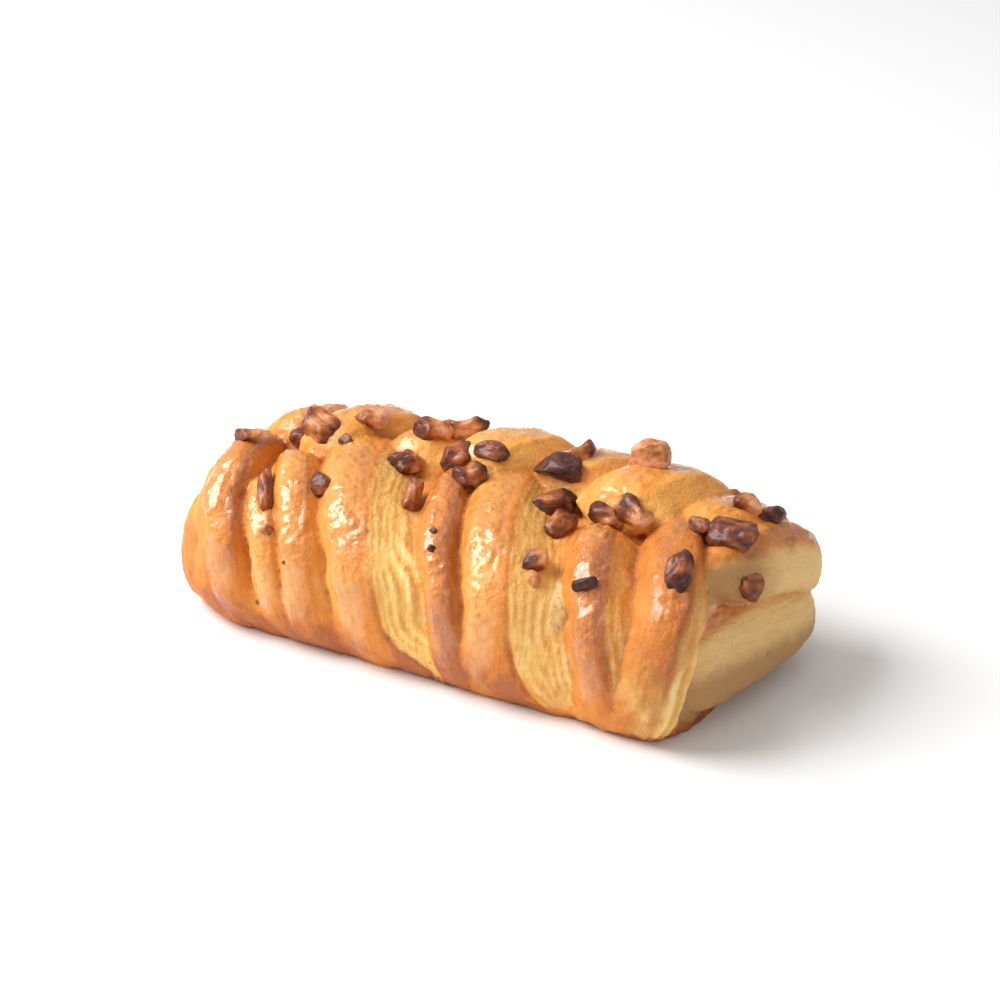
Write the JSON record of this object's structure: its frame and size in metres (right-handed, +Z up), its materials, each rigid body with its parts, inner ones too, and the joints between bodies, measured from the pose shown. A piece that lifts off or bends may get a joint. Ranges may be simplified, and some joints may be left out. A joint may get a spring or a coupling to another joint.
{
  "type": "pecan braid pastry",
  "caption": "Loaf-shaped danish: two rows of glazed laminated dough strips folded over a custard filling, with roasted pecan pieces on top.",
  "frame": {"origin": "middle of the box round the whole pastry, on the level of its flat base", "axes": "+X along the loaf towards its open end, -Y towards the front row of strips, +Z up"},
  "size_m": [0.1495, 0.0729, 0.0521],
  "materials": {
    "crust": "glazed and browned",
    "filling": "moist custard",
    "pecan": "roasted, sticky with glaze"
  },
  "bodies": {
    "root": {"dough": "crust", "filling": "filling", "pecan_01": "pecan", "pecan_02": "pecan", "pecan_03": "pecan", "pecan_04": "pecan", "pecan_05": "pecan", "pecan_06": "pecan", "pecan_07": "pecan", "pecan_08": "pecan", "pecan_09": "pecan", "pecan_10": "pecan", "pecan_11": "pecan", "pecan_12": "pecan", "pecan_13": "pecan", "pecan_14": "pecan", "pecan_15": "pecan", "pecan_16": "pecan", "pecan_17": "pecan", "pecan_18": "pecan", "pecan_19": "pecan", "pecan_20": "pecan", "pecan_21": "pecan", "pecan_22": "pecan", "pecan_23": "pecan", "pecan_24": "pecan", "pecan_25": "pecan", "pecan_26": "pecan", "pecan_27": "pecan", "pecan_28": "pecan", "pecan_29": "pecan", "pecan_30": "pecan", "pecan_31": "pecan", "pecan_32": "pecan", "pecan_33": "pecan"}
  },
  "joints": []
}
